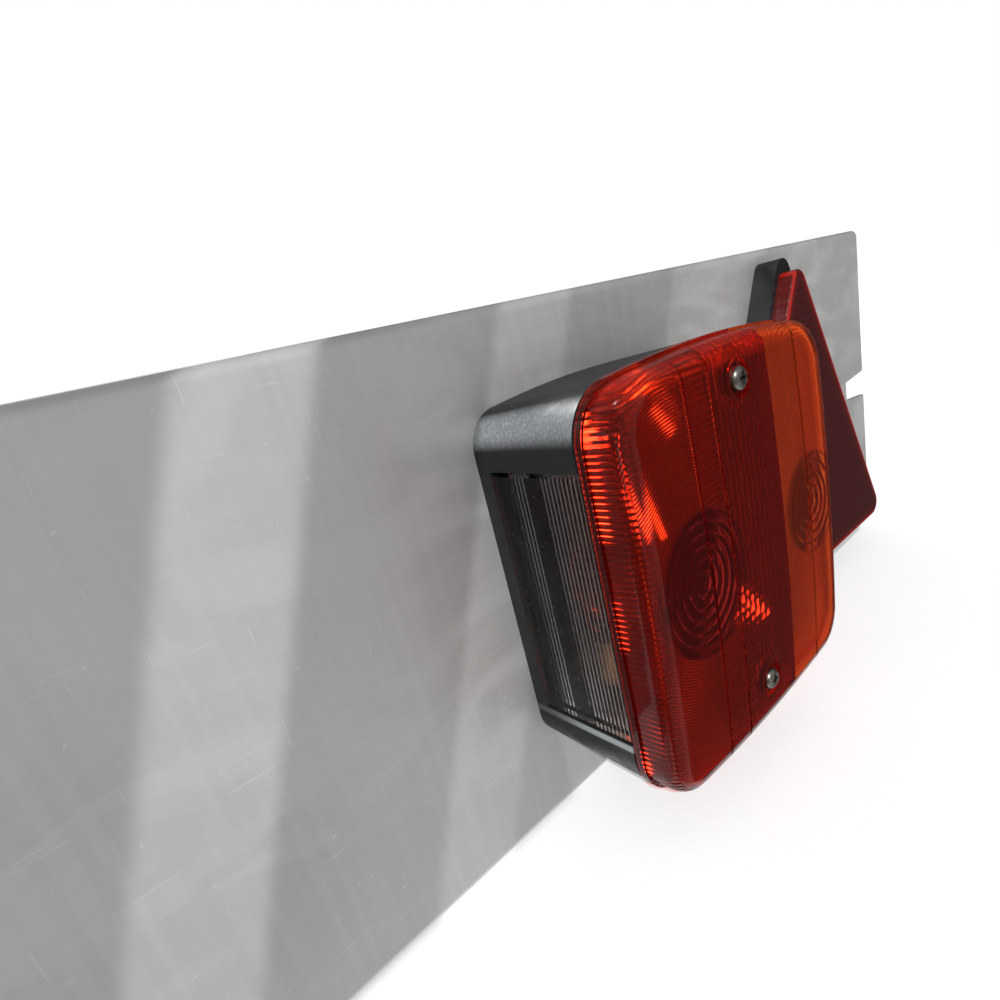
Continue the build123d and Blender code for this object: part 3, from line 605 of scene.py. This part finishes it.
world = bpy.data.worlds.new("white_studio")
bpy.context.scene.world = world
world.use_nodes = True
world_tree = world.node_tree
rays = add_node(world_tree, "LightPath").outputs
seen = calculate(world_tree, "MAXIMUM", rays["Is Camera Ray"], rays["Is Glossy Ray"])
seen = calculate(world_tree, "MAXIMUM", seen, rays["Is Transmission Ray"])
background = world_tree.nodes["Background"]
fill, white = 0.5, 1.0
feed(world_tree, background.inputs["Strength"], fade(world_tree, seen, 0.0, 1.0, fill, white))
background.inputs["Color"].default_value = (1, 1, 1, 1)

# The key light: a lamp high on the left, behind slats that cast two leaning bands on the sheet.
# Its rays are sorted by where they meet the sheet: foot is that spot, slid along the lean to the floor.

right_lamp = Vector((0.394, -0.01, 0.075))
key_data = bpy.data.lights.new("key", "POINT")
key_data.energy = 240.0
key_data.shadow_soft_size = 0.0012
key = bpy.data.objects.new("key", key_data)
key.location = right_lamp + 3.0 * Vector((-0.60, -0.55, 0.70)).normalized()
bpy.context.scene.collection.objects.link(key)
key_data.use_nodes = True
slats = key_data.node_tree
face_y, slat_lean, board_top = 0.015, 0.476, 0.155
band_middle, half_pitch = 229.0, 41.0
towards = add_node(slats, "SeparateXYZ")
feed(slats, towards.inputs[0], add_node(slats, "TexCoord").outputs["Normal"])
sideways = calculate(slats, "MULTIPLY_ADD", towards.outputs["Z"], -slat_lean)
feed(slats, sideways.node.inputs[2], towards.outputs["X"])
foot = calculate(slats, "DIVIDE", sideways, towards.outputs["Y"])
foot = calculate(slats, "MULTIPLY_ADD", foot, 1000 * (face_y - key.location.y))
foot.node.inputs[2].default_value = 1000 * (key.location.x - slat_lean * key.location.z)
height = calculate(slats, "DIVIDE", towards.outputs["Z"], towards.outputs["Y"])
height = calculate(slats, "MULTIPLY_ADD", height, face_y - key.location.y)
height.node.inputs[2].default_value = key.location.z
across = calculate(slats, "MULTIPLY_ADD", height, slat_lean * 1000)
feed(slats, across.node.inputs[2], foot)
from_band = calculate(slats, "PINGPONG", calculate(slats, "SUBTRACT", foot, band_middle), half_pitch)
bands = calculate(slats, "MULTIPLY", fade(slats, from_band, 17.0, 13.0), fade(slats, foot, 186.0, 192.0))
past_lamp = fade(slats, foot, 370.0, 390.0)
at_lamp = calculate(slats, "MULTIPLY", fade(slats, across, 348.0, 356.0), fade(slats, height, 0.122, 0.112))
lit = calculate(slats, "MAXIMUM", bands, fade(slats, foot, 170.0, -150.0, 0.0, 0.6))
lit = calculate(slats, "MAXIMUM", lit, fade(slats, foot, 240.0, 330.0, 0.0, 0.5))
lit = calculate(slats, "MAXIMUM", lit, past_lamp)
lit = calculate(slats, "MAXIMUM", lit, at_lamp)
lit = calculate(slats, "MAXIMUM", lit, calculate(slats, "LESS_THAN", height, 0.0))
lit = calculate(slats, "MAXIMUM", lit, calculate(slats, "GREATER_THAN", height, board_top))
feed(slats, slats.nodes["Emission"].inputs["Strength"], lit)

# The small lights: one above and behind the board puts a sheen on the black plastic alone.
# The others lie inside the right-hand lamp, for the glints in its lens, and only that lens takes them.


def only_for(name, *pieces):
    """A collection of CAD nodes that alone take a light."""
    takers = bpy.data.collections.new(name)
    for piece in pieces:
        takers.objects.link(nodes[piece])
    return takers


def area_light(name, place, aim, size, turn, spread, power, takers, colour=(1, 1, 1)):
    """A rectangular light that only some pieces take, aimed at a spot and turned about its beam."""
    light_data = bpy.data.lights.new(name, "AREA")
    light_data.shape = "RECTANGLE"
    light_data.energy = power
    light_data.color = colour
    light_data.size, light_data.size_y = size
    light_data.spread = math.radians(spread)
    light = bpy.data.objects.new(name, light_data)
    light.location = place
    light.rotation_mode = "QUATERNION"
    beam = (aim - Vector(place)).to_track_quat("-Z", "Y")
    light.rotation_quaternion = beam @ Quaternion((0, 0, 1), math.radians(turn))
    light.visible_camera = False
    light.light_linking.receiver_collection = takers
    bpy.context.scene.collection.objects.link(light)


sheen_on = only_for("sheen_on", *both("lamp_housing"), *both("triangle_base"))
above_behind = right_lamp + 1.5 * Vector((-0.11, 0.74, 0.67)).normalized()
area_light("back_light", above_behind, right_lamp, (0.45, 0.45), 0, 180, 12.0, sheen_on)

glow_on = only_for("glow_on", "right_red_lens", "right_amber_lens")


def inside_glow(name, across, up, forward, width, height, turn, power):
    """A light placed in mm from the lamp's middle on the sheet, aimed at the photograph's viewpoint."""
    place = (right_lamp.x + across / 1000, face_y - forward / 1000, right_lamp.z + up / 1000)
    aim, spread, warm = Vector((0.25, -0.11, 0.14)), 40, (1.0, 0.85, 0.5)
    area_light(name, place, aim, (width, height), turn, spread, power, glow_on, warm)


inside_glow("wall_glow", -38.0, 29.0, 32.0, 0.004, 0.022, 0, 0.0006)
inside_glow("low_wall_glow", -38.0, -5.0, 32.0, 0.003, 0.014, 0, 0.00015)
inside_glow("corner_glow", -40.0, 45.0, 33.0, 0.003, 0.006, 0, 0.00012)
inside_glow("ring_glow", -28.5, 22.0, 34.0, 0.002, 0.016, -15, 0.00007)
inside_glow("top_glow", -17.0, 43.0, 35.0, 0.002, 0.009, -30, 0.00005)
inside_glow("reflex_glow", 9.0, -23.0, 36.0, 0.003, 0.012, -60, 0.00008)
inside_glow("foot_glow", -40.0, -45.0, 33.0, 0.004, 0.008, 0, 0.00013)

# The camera: close in front of the sheet beside the right-hand lamp, with a wide lens.
# It looks along the board and down, and is tilted as the photograph is.

yaw, pitch, roll = math.radians(37.908), math.radians(-18.764), math.radians(-14.231)
camera_data = bpy.data.cameras.new("photo_camera")
camera_data.sensor_width = 36.0
camera_data.lens = 22.113
camera_data.shift_x = -0.0038
camera_data.shift_y = 0.0546
camera_data.clip_start = 0.005
camera = bpy.data.objects.new("photo_camera", camera_data)
camera.location = (0.2512, -0.1110, 0.1408)
looks = Vector((math.sin(yaw) * math.cos(pitch), math.cos(yaw) * math.cos(pitch), math.sin(pitch)))
camera.rotation_mode = "QUATERNION"
camera.rotation_quaternion = looks.to_track_quat("-Z", "Y") @ Quaternion((0, 0, 1), roll)
bpy.context.scene.collection.objects.link(camera)
bpy.context.scene.camera = camera
bpy.context.scene.view_settings.view_transform = "Standard"
